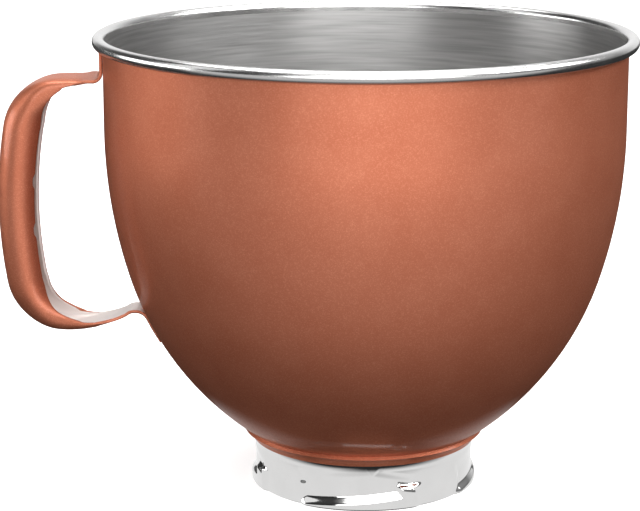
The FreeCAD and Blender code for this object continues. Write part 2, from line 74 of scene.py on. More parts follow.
def polar(centre: Point, radius: float, degrees: float) -> Point:
    """Returns the point at an angle and a distance from a centre."""
    angle = math.radians(degrees)
    return centre[0] + radius * math.cos(angle), centre[1] + radius * math.sin(angle)


def direction(start: Point, end: Point) -> float:
    """Returns the angle in degrees from one point to another."""
    return math.degrees(math.atan2(end[1] - start[1], end[0] - start[0]))


def smooth(low: float, high: float, value: float) -> float:
    """Returns 0 below low, 1 above high and a smooth rise between them."""
    step = max(0.0, min(1.0, (value - low) / (high - low)))
    return step * step * (3.0 - 2.0 * step)


def between(ends: Point, share: float) -> float:
    """Returns the value at a share of the way from the first end to the second."""
    return ends[0] + (ends[1] - ends[0]) * share


def quarter_wave(share: float) -> float:
    """Returns a rise from 0 to 1 that is quick at first, for a share of its length."""
    return math.sin(math.pi / 2 * max(0.0, min(1.0, share)))


@dataclass(frozen=True)
class Soft:
    """A soft step across a line: how far it reaches before the line and past it."""

    before: float
    past: float

    def rise(self, value: float) -> float:
        """Returns 0 well before the line and 1 well past it."""
        return smooth(-self.before, self.past, value)

    def fall(self, value: float) -> float:
        """Returns 1 well before the line and 0 well past it."""
        return 1.0 - self.rise(value)


# Mesh building


class Profile:
    """A closed section line in the XZ plane, drawn with vertices that are extruded and spun."""

    SECTORS = 16
    MERGE = 0.00001

    def __init__(self, start: Point) -> None:
        """Starts the line.

        Args:
            start: The first point, in millimetres.
        """
        self.mesh = bmesh.new()
        self.last = self.mesh.verts.new((start[0] * MM, 0.0, start[1] * MM))
        self.first = self.last

    def line(self, end: Point, steps: int = 1) -> None:
        """Draws a straight run.

        Args:
            end: The point it ends at.
            steps: The number of edges along it.
        """
        move = (Vector((end[0] * MM, 0.0, end[1] * MM)) - self.last.co) / steps
        for _ in range(steps):
            made = bmesh.ops.extrude_vert_indiv(self.mesh, verts=[self.last])
            self.last = made["verts"][0]
            self.last.co += move

    def arc(self, centre: Point, degrees: float, steps: int) -> None:
        """Draws an arc.

        Args:
            centre: The centre of the arc.
            degrees: The turn, positive from +X towards +Z.
            steps: The number of edges along it.
        """
        made = bmesh.ops.spin(
            self.mesh,
            geom=[self.last],
            cent=(centre[0] * MM, 0.0, centre[1] * MM),
            axis=(0.0, -1.0, 0.0),
            angle=math.radians(degrees),
            steps=steps,
        )
        self.last = made["geom_last"][0]

    def turned(self, segments: int, close: bool = True) -> Mesh:
        """Turns the line about the Z axis into a closed skin.

        One sector is spun, then copied round until the turn is whole.

        Args:
            segments: The number of steps round the axis, a multiple of the sectors.
            close: Whether the line's end is joined to its start first.

        Returns:
            The turned mesh with its faces pointing outwards.
        """
        mesh = self.mesh
        if close:
            mesh.edges.new((self.last, self.first))
        bmesh.ops.spin(
            mesh,
            geom=mesh.verts[:] + mesh.edges[:],
            cent=(0.0, 0.0, 0.0),
            axis=(0.0, 0.0, 1.0),
            angle=math.tau / self.SECTORS,
            steps=segments // self.SECTORS,
        )
        done = 1
        while done < self.SECTORS:
            copy = bmesh.ops.duplicate(mesh, geom=mesh.verts[:] + mesh.edges[:] + mesh.faces[:])
            verts = [item for item in copy["geom"] if isinstance(item, bmesh.types.BMVert)]
            turn = Matrix.Rotation(math.tau * done / self.SECTORS, 3, "Z")
            bmesh.ops.rotate(mesh, verts=verts, cent=(0.0, 0.0, 0.0), matrix=turn)
            done *= 2
        bmesh.ops.remove_doubles(mesh, verts=mesh.verts[:], dist=self.MERGE)
        bmesh.ops.recalc_face_normals(mesh, faces=mesh.faces[:])
        return mesh


def sharpen(mesh: Mesh, degrees: float) -> None:
    """Smooths all faces and keeps the sharply bent edges sharp.

    Args:
        mesh: The mesh.
        degrees: The bend from which an edge is sharp.
    """
    for face in mesh.faces:
        face.smooth = True
    for edge in mesh.edges:
        edge.smooth = edge.calc_face_angle(0.0) < math.radians(degrees)


def piece(name: str, mesh: Mesh, material: Material) -> bpy.types.Object:
    """Makes an object of a mesh and gives it its finish.

    Args:
        name: The piece's name.
        mesh: The mesh, which is freed.
        material: The material.

    Returns:
        The new object, riding on the root body.
    """
    data = bpy.data.meshes.new(name)
    mesh.to_mesh(data)
    mesh.free()
    data.materials.append(material)
    made = bpy.data.objects.new(name, data)
    bpy.context.scene.collection.objects.link(made)
    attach(made, "root")
    LOG.info("%s: %d faces", name, len(data.polygons))
    return made


# Finishes


@dataclass(frozen=True)
class Ramp:
    """A map from one range of values to another, held at its ends."""

    low: float
    high: float
    start: float = 0.0
    end: float = 1.0


def spread(middle: float, half: float, contrast: Point) -> Ramp:
    """Returns the ramp that spreads a texture's contrast evenly round a middle value."""
    return Ramp(*contrast, middle - half, middle + half)


def shade(colour: Triple, share: float = 1.0) -> tuple[float, ...]:
    """Returns a colour scaled by a share, with a full fourth channel."""
    return (*(part * share for part in colour), 1.0)


class Nodes:
    """A node tree under construction: adds nodes and links them."""

    def __init__(self, tree: bpy.types.NodeTree) -> None:
        """Takes the tree that the nodes go into."""
        self.tree = tree

    def node(self, kind: str, **settings: object) -> bpy.types.Node:
        """Adds a node.

        Args:
            kind: The node's type name without its prefix.
            **settings: Properties of the node.

        Returns:
            The node.
        """
        made = self.tree.nodes.new(f"ShaderNode{kind}")
        for name, value in settings.items():
            setattr(made, name, value)
        return made

    def link(self, start: Socket, end: Socket) -> None:
        """Links an output to an input."""
        self.tree.links.new(start, end)

    def feed(self, value: object, socket: Socket) -> None:
        """Gives an input its value.

        Args:
            value: A socket to link, or a constant to set.
            socket: The input.
        """
        if isinstance(value, Socket):
            self.link(value, socket)
        else:
            socket.default_value = value

    def place(self, kind: str = "Object") -> Socket:
        """Returns coordinates, by default the object's own in metres."""
        return self.node("TexCoord").outputs[kind]

    def axes(self, place: Socket) -> tuple[Socket, Socket, Socket]:
        """Splits a place.

        Args:
            place: The place.

        Returns:
            Its X, Y and Z.
        """
        parts = self.node("SeparateXYZ")
        self.link(place, parts.inputs[0])
        return parts.outputs[0], parts.outputs[1], parts.outputs[2]

    def maths(self, operation: str, *values: object) -> Socket:
        """Adds a calculation.

        Args:
            operation: The operation's name.
            *values: Sockets or numbers for its inputs.

        Returns:
            The result.
        """
        made = self.node("Math", operation=operation)
        for number, value in enumerate(values):
            self.feed(value, made.inputs[number])
        return made.outputs[0]

    def noise(self, place: Socket, scale: float, detail: float = 2.0) -> Socket:
        """Adds a noise.

        Args:
            place: The place it is read at.
            scale: Its scale.
            detail: Its octaves.

        Returns:
            The noise, between 0 and 1.
        """
        made = self.node("TexNoise")
        made.inputs["Scale"].default_value = scale
        made.inputs["Detail"].default_value = detail
        self.link(place, made.inputs["Vector"])
        return made.outputs["Fac"]

    def ramp(self, value: Socket, ramp: Ramp) -> Socket:
        """Maps a value.

        Args:
            value: The value.
            ramp: The map.

        Returns:
            The mapped value.
        """
        made = self.node("MapRange")
        self.link(value, made.inputs["Value"])
        made.inputs["From Min"].default_value = ramp.low
        made.inputs["From Max"].default_value = ramp.high
        made.inputs["To Min"].default_value = ramp.start
        made.inputs["To Max"].default_value = ramp.end
        return made.outputs["Result"]

    def mix(self, share: Socket, first: object, second: object) -> Socket:
        """Mixes two colours.

        Args:
            share: The share of the second.
            first: The first colour.
            second: The second colour.

        Returns:
            The mixed colour.
        """
        made = self.node("Mix", data_type="RGBA")
        for value, number in ((share, 0), (first, 6), (second, 7)):
            self.feed(value, made.inputs[number])
        return made.outputs[2]

    def bump(self, height: Socket, distance: float, strength: float = 1.0) -> Socket:
        """Adds a relief.

        Args:
            height: Its height, from 0 to 1.
            distance: The height of 1, in metres.
            strength: How strongly it bends the normal.

        Returns:
            The bent normal.
        """
        made = self.node("Bump")
        made.inputs["Distance"].default_value = distance
        made.inputs["Strength"].default_value = strength
        self.link(height, made.inputs["Height"])
        return made.outputs["Normal"]

    def seen(self) -> Socket:
        """Tells the camera's rays from others.

        Returns:
            1 for rays from the camera or through glass, and 0 for others.
        """
        path = self.node("LightPath")
        camera, glass = path.outputs["Is Camera Ray"], path.outputs["Is Transmission Ray"]
        return self.maths("MAXIMUM", camera, glass)


class Shader(Nodes):
    """A material under construction, with its surface shader."""

    def __init__(self, name: str) -> None:
        """Makes a plain material.

        Args:
            name: The material's name.
        """
        self.material = bpy.data.materials.new(name)
        self.material.use_nodes = True
        super().__init__(self.material.node_tree)
        self.surface = self.tree.nodes["Principled BSDF"]

    def set(self, **values: object) -> None:
        """Feeds the surface shader's inputs, with underscores for spaces in the names."""
        for name, value in values.items():
            self.feed(value, self.surface.inputs[name.replace("_", " ")])


@dataclass(frozen=True)
class MetallicPaint:
    """Copper-coloured paint with fine flakes under a gloss clear coat."""

    name: str
    colour: Triple = (0.455, 0.14, 0.076)
    metallic: float = 0.72
    edge_tint: Triple = (0.6, 0.38, 0.3)
    flake: Triple = (0.66, 0.26, 0.16)
    flake_size: float = 0.00032
    # Brighter flake cells: partly the flakes' own colour, partly a painted glint.
    flake_tone_and_glint: Ramp = Ramp(0.62, 1.0, 0.0, 0.45)
    flake_tilt: float = 0.00002
    flake_tilt_strength: float = 0.5
    cloud_scale: float = 60.0
    cloud: Ramp = Ramp(0.35, 0.65, 0.0, 0.12)
    roughness: float = 0.48
    roughness_half: float = 0.08
    coat: float = 0.26
    coat_roughness: float = 0.1
    coat_index: float = 1.5
    peel_scale: float = 260.0
    peel_height: float = 0.000012

    def build(self) -> Material:
        """Builds the node tree.

        Returns:
            The material.
        """
        paint = Shader(self.name)
        place = paint.place()
        cells = paint.node("TexVoronoi", feature="F1")
        cells.inputs["Scale"].default_value = 1.0 / self.flake_size
        paint.link(place, cells.inputs["Vector"])
        split = paint.node("SeparateColor")
        paint.link(cells.outputs["Color"], split.inputs["Color"])
        # Brighter flake cells: partly the flakes' own colour, partly a painted glint of flakes
        # catching the light.
        flake_tone_and_glint_share = paint.ramp(split.outputs[0], self.flake_tone_and_glint)
        cloud = paint.ramp(paint.noise(place, self.cloud_scale), self.cloud)
        share = paint.maths("ADD", flake_tone_and_glint_share, cloud)
        rough = spread(self.roughness, self.roughness_half, (0.0, 1.0))
        peel = paint.noise(place, self.peel_scale)
        paint.set(
            Base_Color=paint.mix(share, shade(self.colour), shade(self.flake)),
            Metallic=self.metallic,
            Roughness=paint.ramp(split.outputs[1], rough),
            Normal=paint.bump(split.outputs[2], self.flake_tilt, self.flake_tilt_strength),
            Specular_Tint=shade(self.edge_tint),
            Coat_Weight=self.coat,
            Coat_Roughness=self.coat_roughness,
            Coat_IOR=self.coat_index,
            Coat_Normal=paint.bump(peel, self.peel_height),
        )
        return paint.material


@dataclass(frozen=True)
class BrushedSteel:
    """Stainless steel brushed round the bowl's axis."""

    name: str
    colour: Triple = (0.47, 0.465, 0.46)
    tone_half: float = 0.16
    roughness: float = 0.36
    roughness_half: float = 0.05
    grain: float = 0.00022
    grain_stretch: float = 0.0008
    grain_height: float = 0.000004
    grain_strength: float = 0.5
    scratch: float = 0.0013
    scratch_stretch: float = 0.004
    detail: float = 3.0
    contrast: Point = (0.3, 0.7)
    anisotropy: float = 0.6
    anisotropy_turn: float = 0.25

    def build(self) -> Material:
        """Builds the node tree.

        Returns:
            The material.
        """
        steel = Shader(self.name)
        fine = self.streaks(steel, self.grain, self.grain_stretch)
        coarse = self.streaks(steel, self.scratch, self.scratch_stretch)
        dark = shade(self.colour, 1.0 - self.tone_half)
        pale = shade(self.colour, 1.0 + self.tone_half)
        rough = spread(self.roughness, self.roughness_half, self.contrast)
        round_axis = steel.node("Tangent", direction_type="RADIAL", axis="Z")
        steel.set(
            Base_Color=steel.mix(steel.ramp(coarse, Ramp(*self.contrast)), dark, pale),
            Metallic=1.0,
            Roughness=steel.ramp(fine, rough),
            Normal=steel.bump(fine, self.grain_height, self.grain_strength),
            Tangent=round_axis.outputs[0],
            Anisotropic=self.anisotropy,
            Anisotropic_Rotation=self.anisotropy_turn,
        )
        return steel.material

    def streaks(self, steel: Shader, size: float, stretch: float) -> Socket:
        """Returns a noise drawn out into rings round the axis.

        Args:
            steel: The material.
            size: The width of a streak, in metres.
            stretch: How far a radian of turn counts, in metres; less makes longer streaks.

        Returns:
            The noise.
        """
        x, y, z = steel.axes(steel.place())
        squares = steel.maths("MULTIPLY", x, x), steel.maths("MULTIPLY", y, y)
        across = steel.maths("SQRT", steel.maths("ADD", *squares))
        turn = steel.maths("MULTIPLY", steel.maths("ARCTAN2", y, x), stretch)
        lines = steel.node("CombineXYZ")
        for number, value in enumerate((across, turn, z)):
            steel.link(value, lines.inputs[number])
        return steel.noise(lines.outputs[0], 1.0 / size, self.detail)


@dataclass(frozen=True)
class PolishedSteel:
    """Bare steel, polished bright with faint rub marks."""

    name: str
    colour: Triple = (0.74, 0.735, 0.73)
    dull_share: float = 0.95
    metallic: float = 1.0
    roughness: float = 0.09
    smoother: float = 0.03
    rougher: float = 0.05
    rub_scale: float = 90.0
    rub_detail: float = 4.0
    contrast: Point = (0.3, 0.7)
    ripple_scale: float = 160.0
    ripple_height: float = 0.00002

    def build(self) -> Material:
        """Builds the node tree.

        Returns:
            The material.
        """
        steel = Shader(self.name)
        place = steel.place()
        rub = steel.noise(place, self.rub_scale, self.rub_detail)
        ripple = steel.noise(place, self.ripple_scale)
        rough = Ramp(*self.contrast, self.roughness - self.smoother, self.roughness + self.rougher)
        dull, bright = shade(self.colour, self.dull_share), shade(self.colour)
        steel.set(
            Base_Color=steel.mix(steel.ramp(rub, Ramp(*self.contrast)), dull, bright),
            Metallic=self.metallic,
            Roughness=steel.ramp(rub, rough),
            Normal=steel.bump(ripple, self.ripple_height),
        )
        return steel.material


# The bowl


@dataclass
class Form:
    """The outer form of the bowl: a flat base, three arcs and an upright wall."""

    base: float = 15.0
    flat: float = 24.27
    radii: Triple = (40.0, 130.0, 210.0)
    side_turn: float = 17.3
    belly_turn: float = 40.55
    top: float = 195.0
    sheet: float = 0.9
    arc_steps: tuple[int, int, int] = (26, 34, 22)
    centres: list[Point] = field(init=False)
    angles: list[float] = field(init=False)

    def __post_init__(self) -> None:
        """Works out the arcs' centres from their turns."""
        self.angles = [-90.0, -self.side_turn - self.belly_turn, -self.side_turn, 0.0]
        corner = (self.flat, self.base + self.radii[0])
        belly = polar(corner, self.radii[0] - self.radii[1], self.angles[1])
        side = polar(belly, self.radii[1] - self.radii[2], self.angles[2])
        self.centres = [corner, belly, side]

    @property
    def wall(self) -> float:
        """The outer radius of the upright wall."""
        return self.centres[2][0] + self.radii[2]

    @property
    def wall_bottom(self) -> float:
        """The height at which the wall begins."""
        return self.centres[2][1]

    def gap(self, point: Point) -> tuple[float, int]:
        """Measures how far a point is from the form.

        Args:
            point: The point.

        Returns:
            The distance and the number of the arc that the point faces.
        """
        for number, (centre, radius) in enumerate(zip(self.centres, self.radii)):
            if self.angles[number] <= direction(centre, point) <= self.angles[number + 1]:
                return math.dist(centre, point) - radius, number
        return point[0] - self.wall, 2

    def skin(self, profile: Profile, upwards: bool) -> None:
        """Draws the three arcs of the form at the profile's present inset.

        Args:
            profile: The profile, standing at one end of the arcs.
            upwards: Whether it is drawn from the base to the wall.
        """
        arcs = list(zip(self.centres, self.angles, self.angles[1:], self.arc_steps))
        for centre, start, end, steps in arcs if upwards else arcs[::-1]:
            profile.arc(centre, end - start if upwards else start - end, steps)


@dataclass
class Bowl:
    """The drawn bowl: painted skin outside, brushed skin inside and a bare rolled bead."""

    form: Form
    bead: float = 2.6
    curl: float = 292.0
    paint_top: float = 190.6
    segments: int = 384
    base_steps: int = 12
    wall_steps: int = 16
    neck_steps: int = 4
    outer_curl_steps: int = 40
    inner_curl_steps: int = 52
    sharp: float = 40.0

    def build(self, finishes: Finishes) -> None:
        """Makes the three skins of the bowl.

        Args:
            finishes: The materials.
        """
        sheet = self.form.sheet
        for name, mesh, finish in (
            ("bowl_painted_skin", self.skin(0.0, sheet / 2), Finish.SHELL),
            ("bowl_brushed_skin", self.skin(sheet / 2, sheet), Finish.INSIDE),
            ("bowl_rolled_bead", self.rolled_bead(), Finish.BEAD),
        ):
            part = piece(name, mesh, finishes[finish])
            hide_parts("bowl")

    def skin(self, outer: float, inner: float) -> Mesh:
        """Draws and turns a skin of the bowl.

        Args:
            outer: How far its outer side lies in from the form.
            inner: How far its inner side does.

        Returns:
            The closed skin.
        """
        form = self.form
        profile = Profile((0.0, form.base + outer))
        profile.line((form.flat, form.base + outer), self.base_steps)
        form.skin(profile, True)
        profile.line((form.wall - outer, self.paint_top), self.wall_steps)
        profile.line((form.wall - inner, self.paint_top))
        profile.line((form.wall - inner, form.wall_bottom), self.wall_steps)
        form.skin(profile, False)
        profile.line((0.0, form.base + inner), self.base_steps)
        mesh = profile.turned(self.segments)
        sharpen(mesh, self.sharp)
        return mesh

    def rolled_bead(self) -> Mesh:
        """Draws and turns the bead, from the edge of the skins up and round to its lip.

        Returns:
            The bead.
        """
        form = self.form
        inner = form.wall - form.sheet
        centre = (inner + self.bead, form.top - self.bead)
        profile = Profile((form.wall, self.paint_top))
        profile.line((form.wall, centre[1]), self.neck_steps)
        profile.arc(centre, -self.curl, self.outer_curl_steps)
        lip = 180.0 - self.curl
        profile.line(polar(centre, self.bead, lip))
        profile.arc(centre, self.curl, self.inner_curl_steps)
        profile.line((inner, self.paint_top), self.neck_steps)
        mesh = profile.turned(self.segments)
        sharpen(mesh, self.sharp)
        return mesh


# The handle


@dataclass(frozen=True)
class Fold:
    """The crown side of a strap section: an arch, boxier for a smaller power.

    The arch spans a half width and a depth, up to an angle of wrap in degrees.
    """

    width: float
    depth: float
    wrap: float
    power: float

    NUDGE = 0.25

    def arch(self, degrees: float) -> Point:
        """Finds a point of the arch.

        Args:
            degrees: The angle from the crown.

        Returns:
            The point.
        """
        end = math.sin(math.radians(min(self.wrap, 90.0))) ** self.power
        sine, cosine = math.sin(math.radians(degrees)), math.cos(math.radians(degrees))
        last = math.cos(math.radians(self.wrap))
        across = math.copysign(abs(sine) ** self.power, sine)
        rise = 1.0 - math.copysign(abs(cosine) ** self.power, cosine)
        whole = 1.0 - math.copysign(abs(last) ** self.power, last)
        return self.width * across / end, self.depth * rise / whole

    def ahead(self, degrees: float) -> Triple:
        """Finds where the arch is heading.

        Args:
            degrees: The angle from the crown.

        Returns:
            The two parts of the direction, and the distance travelled in a degree.
        """
        before, after = self.arch(degrees - self.NUDGE), self.arch(degrees + self.NUDGE)
        step = (after[0] - before[0], after[1] - before[1])
        long = math.hypot(*step)
        return step[0] / long, step[1] / long, long / (2.0 * self.NUDGE)

    def speed(self, degrees: float) -> float:
        """Returns the distance travelled per radian at an angle."""
        return math.degrees(self.ahead(degrees)[2])

    def spot(self, degrees: float, offset: float, beyond: float = 0.0) -> Point:
        """Returns a point of the strap.

        Args:
            degrees: The angle along the arch.
            offset: The depth in the sheet.
            beyond: The reach past the edge.

        Returns:
            The point, across the strap and in from its crown.
        """
        x, y = self.arch(degrees)
        along, up, _ = self.ahead(degrees)
        return x - offset * up + beyond * along, y + offset * along + beyond * up


@dataclass(frozen=True)
class Layer:
    """A layer of the strap: the depths it lies between, and the radii of its edge's corners."""

    crown: float
    hollow: float
    crown_round: float
    hollow_round: float


@dataclass
class Handle:
    """The strap handle: flat tabs and arms, with a grip whose sides are rolled to a C.

    The strap is painted on its crown side and round its edges. Its hollow side has a pale lining
    whose colour is a painted reflection of the white surroundings. What changes along it follows
    the roll, which is 0 on the flat strap and 1 in the full grip.
    """

    form: Form
    strap: float = 1.5
    edge: float = 0.42
    start: Point = (-111.497, 188.4)
    start_heading: float = 270.0
    tab_bend: float = 3.0
    arm_z: float = 176.5
    arm_flat: float = 5.5
    arm_straight: float = 8.3
    arcs: tuple[Point, ...] = ((25.0, 79.9), (200.0, 19.6), (24.5, 75.5), (52.0, 34.89))
    crest: float = 5.0
    foot_tab: float = 12.0
    arm_half: float = 13.5
    foot_half: float = 7.4
    grip_half: float = 12.0
    depth: float = 16.3
    least_depth: float = 0.01
    wrap: float = 141.0
    strap_wrap: float = 35.0
    upright_roll: float = 0.15
    boxy: Point = (2.4, 1.3)
    boxing: Point = (0.0, 0.06)
    unboxing: Point = (0.45, 0.97)
    roll_delay: float = 1.5
    upper_roll: float = 44.0
    upper_power: float = 1.3
    lower_roll: float = 60.0
    lower_power: float = 2.0
    lower_spread: float = 42.0
    dents: tuple[float, ...] = (133.5, 110.5)
    dent_depth: float = 1.3
    dent_half: float = 3.9
    dent_flat: float = 0.35
    dent_roll: float = 0.6
    sheen_lining_growth: Point = (0.35, 0.9)
    paint_share: Point = (0.93, 0.23)
    paint_lip: Point = (0.35, 0.02)
    sheen_lining_bite: Point = (0.45, 0.0)
    sheen_lining_corner: float = 0.02
    sheen_lining_edge_share: float = 0.8
    corner_turns: tuple[float, ...] = (22.5, 45.0, 67.5, 90.0)
    half_steps: int = 34
    station: float = 1.1
    tight_station: float = 0.5
    tight_radius: float = 10.0
    sharp: float = 50.0
    # The hollow side's pale, half-metallic colour is a painted reflection of the white
    # surroundings.
    steel: PolishedSteel = PolishedSteel(
        "painted_sheen_strap", colour=(0.86, 0.80, 0.77), metallic=0.45, roughness=0.45
    )
    runs: list[Point] = field(init=False)
    roll_start: float = field(init=False)
    roll_end: float = field(init=False)

    def __post_init__(self) -> None:
        """Lays the runs of the crown line, each a radius (0 if straight) and a turn or length."""
        drop = self.start[1] - self.arm_z - self.tab_bend
        self.runs = [(0.0, drop), (self.tab_bend, -90.0)]
        self.roll_start = self.reach() + self.roll_delay
        self.runs += [(0.0, self.arm_flat + self.arm_straight), *self.arcs]
        self.roll_end = self.reach()
        point, heading = self.at(self.roll_end)
        centre = polar(point, self.crest, heading - 90.0)
        number = self.form.gap((-centre[0], centre[1]))[1]
        seat = (-self.form.centres[number][0], self.form.centres[number][1])
        down = direction(seat, centre) + 90.0
        self.runs.append((self.crest, (down - heading) % 360.0 - 360.0))
        radius = self.form.radii[number] + self.strap
        self.runs.append((radius, math.degrees(self.foot_tab / radius)))

    @staticmethod
    def length(run: Point) -> float:
        """Returns the length of a run."""
        return run[0] * math.radians(abs(run[1])) if run[0] else run[1]

    def reach(self) -> float:
        """Returns the length of all runs."""
        return sum(self.length(run) for run in self.runs)

    def at(self, distance: float) -> tuple[Point, float]:
        """Follows the crown line.

        Args:
            distance: The distance along it.

        Returns:
            The point reached and the heading there.
        """
        point, heading = self.start, self.start_heading
        for run in self.runs:
            step = min(distance, self.length(run))
            if run[0]:
                side = math.copysign(90.0, run[1])
                centre = polar(point, run[0], heading + side)
                heading += math.copysign(math.degrees(step / run[0]), run[1])
                point = polar(centre, run[0], heading - side)
            else:
                point = polar(point, step, heading)
            distance -= step
            if distance <= 0.0:
                break
        return point, heading

    def fold(self, distance: float) -> tuple[Fold, float]:
        """Shapes the crown side.

        Args:
            distance: The distance along the crown line.

        Returns:
            The arch there, and the roll.
        """
        point, heading = self.at(distance)
        left = self.roll_end - distance
        upper = quarter_wave((distance - self.roll_start) / self.upper_roll)
        upper_share = upper ** self.upper_power
        lower_share = quarter_wave(left / self.lower_roll) ** self.lower_power
        roll = min(upper_share, lower_share)
        if upper_share < lower_share:
            width, boxy = between((self.arm_half, self.grip_half), upper), self.boxy[0]
        else:
            wide = quarter_wave(left / self.lower_spread)
            width, boxy = between((self.foot_half, self.grip_half), wide), self.boxy[1]
        hug = 0.0
        if roll == 0.0:
            wall = abs(point[0])
            sag = wall - math.sqrt(wall ** 2 - width ** 2)
            hug = sag * abs(math.sin(math.radians(heading)))
        wrap = between((self.strap_wrap, 90.0), min(1.0, roll / self.upright_roll))
        wrap += (self.wrap - 90.0) * smooth(self.upright_roll, 1.0, roll)
        box = boxy * smooth(*self.boxing, roll) * (1.0 - smooth(*self.unboxing, roll))
        depth = max(self.depth * roll + hug, self.least_depth)
        return Fold(width, depth, wrap, 2.0 / (2.0 + box)), roll

    def dent(self, height: float) -> float:
        """Shapes the dents in the grip's near edge.

        Args:
            height: The height.

        Returns:
            The depth of the dents there.
        """
        deep = 0.0
        for middle in self.dents:
            away = abs(height - middle) / self.dent_half
            deep += self.dent_depth * (1.0 - smooth(self.dent_flat, 1.0, away))
        return deep

    def section(self, distance: float, sheen_lining: bool) -> list[Vector]:
        """Returns the points of a layer's section at a distance along the crown line.

        Args:
            distance: The distance from the upper tab's end.
            sheen_lining: Whether it is the pale lining on the hollow side, whose colour is a
                painted reflection.

        Returns:
            The points round the section, in metres.
        """
        point, heading = self.at(distance)
        inward = polar((0.0, 0.0), 1.0, heading + 90.0)
        fold, roll = self.fold(distance)
        near_bite = self.dent(point[1]) * smooth(self.dent_roll, 1.0, roll)
        far_bite = 0.0
        share = smooth(*self.sheen_lining_growth, roll)
        seam = self.strap * between(self.paint_share, share)
        # The pale lining on the hollow side: its colour is a painted reflection of the white
        # surroundings.
        if sheen_lining:
            corner = min(self.edge, self.sheen_lining_edge_share * (self.strap - seam))
            layer = Layer(seam, self.strap, self.sheen_lining_corner, corner)
            far_bite = between(self.sheen_lining_bite, share)
            near_bite += far_bite
        else:
            layer = Layer(0.0, seam, self.edge, between(self.paint_lip, share))
        far = self.half_section(fold, far_bite, layer)
        near = self.half_section(fold, near_bite, layer)
        ring = far + [(-x, y) for x, y in near[-2:0:-1]]
        return [
            Vector((point[0] + y * inward[0], x, point[1] + y * inward[1])) * MM for x, y in ring
        ]

    def half_section(self, fold: Fold, bite: float, layer: Layer) -> list[Point]:
        """Returns half of a layer's section: crown side, edge, and back along the hollow side.

        Args:
            fold: The curve of the crown side.
            bite: How far the edge lies short of the curve's end.
            layer: The layer.

        Returns:
            The points, from the middle of the crown side to the middle of the hollow side.
        """
        last = fold.wrap - math.degrees((bite + self.edge) / fold.speed(fold.wrap))
        angles = [last * step / self.half_steps for step in range(self.half_steps + 1)]
        half = [fold.spot(angle, layer.crown) for angle in angles]
        for radius, face, turns in (
            (layer.crown_round, layer.crown, self.corner_turns),
            (-layer.hollow_round, layer.hollow, self.corner_turns[::-1]),
        ):
            for turn in turns:
                deep = face + radius * (1.0 - math.cos(math.radians(turn)))
                inset = abs(radius) * (1.0 - math.sin(math.radians(turn)))
                half.append(fold.spot(last, deep, self.edge - inset))
        half += [fold.spot(angle, layer.hollow) for angle in reversed(angles)]
        return half

    def stations(self) -> list[float]:
        """Places the sections.

        Returns:
            Their distances along the crown line.
        """
        marks, begin = [0.0], 0.0
        for run in self.runs:
            long = self.length(run)
            tight = 0.0 < run[0] < self.tight_radius
            count = max(2, round(long / (self.tight_station if tight else self.station)))
            marks += [begin + long * step / count for step in range(1, count + 1)]
            begin += long
        return marks

    def build(self, finishes: Finishes) -> None:
        """Makes the painted layer of the strap, and the pale lining on its hollow side whose colour
        is a painted reflection.

        Args:
            finishes: The materials.
        """
        for name, sheen_lining, finish, material in (
            ("handle_painted_strap", False, Finish.HANDLE, finishes[Finish.HANDLE]),
            # The hollow side's lining, coloured with a painted reflection.
            ("handle_sheen_lining", True, Finish.INSIDE, self.steel.build()),
        ):
            part = piece(name, self.layer(sheen_lining), material)
            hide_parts("handle")

    def layer(self, sheen_lining: bool) -> Mesh:
        """Extrudes one of the strap's two layers, section by section.

        Args:
            sheen_lining: Whether it is the pale lining on the hollow side, whose colour is a
                painted reflection.

        Returns:
            The layer.
        """
        mesh = bmesh.new()
        marks = self.stations()
        ring = [mesh.verts.new(spot) for spot in self.section(marks[0], sheen_lining)]
        edges = [mesh.edges.new(pair) for pair in zip(ring, ring[1:] + ring[:1])]
        bmesh.ops.contextual_create(mesh, geom=edges)
        for mark in marks[1:]:
            made = bmesh.ops.extrude_edge_only(mesh, edges=edges)["geom"]
            older = set(ring)
            follow = {}
            for vert in made:
                if not isinstance(vert, bmesh.types.BMVert):
                    continue
                for edge in vert.link_edges:
                    if edge.other_vert(vert) in older:
                        follow[edge.other_vert(vert)] = vert
            ring = [follow[vert] for vert in ring]
            for vert, spot in zip(ring, self.section(mark, sheen_lining)):
                vert.co = spot
            edges = [mesh.edges.get(pair) for pair in zip(ring, ring[1:] + ring[:1])]
        bmesh.ops.contextual_create(mesh, geom=edges)
        bmesh.ops.recalc_face_normals(mesh, faces=mesh.faces[:])
        sharpen(mesh, self.sharp)
        return mesh


# The foot


